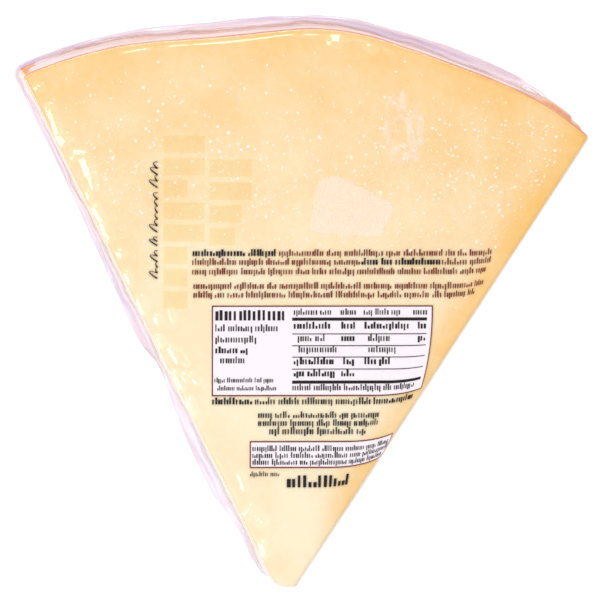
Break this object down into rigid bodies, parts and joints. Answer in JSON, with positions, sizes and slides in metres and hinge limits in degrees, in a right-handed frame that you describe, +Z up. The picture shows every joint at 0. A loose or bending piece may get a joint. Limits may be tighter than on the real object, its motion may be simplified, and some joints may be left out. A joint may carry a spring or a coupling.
{
  "type": "pecorino romano cheese wedge",
  "caption": "Wedge of hard sheep's milk cheese with cut faces, a curved rind and a blunt tip, sealed in tight clear film with a narrow fin round two walls.",
  "frame": {"origin": "centre of the wedge's box, on the plane of the lower cut face that it lies on", "axes": "+Z up through the upper, printed face; +Y from the blunt tip to the rind; +X to the right, seen from above with the rind at the far side"},
  "size_m": [0.1412, 0.1412, 0.0622],
  "materials": {
    "paste": "close, waxy, pale straw-coloured paste of a hard cheese, cut with a wire, a little deeper in colour towards the rind",
    "rind": "thin, dry, matt terracotta-brown rind with a fine grain and darker patches",
    "clear_film": "thin, clear, glossy shrink film with pleats and wrinkles, faintly lilac where it stands away from the cheese",
    "white_print": "opaque white ink on the inside of the film",
    "dark_print": "near-black ink on the inside of the film",
    "brown_print": "red-brown ink on the inside of the film",
    "pale_print": "thin, half-clear straw-yellow ink on the inside of the film"
  },
  "bodies": {
    "root": {"sealed_wedge": "paste"}
  },
  "joints": []
}
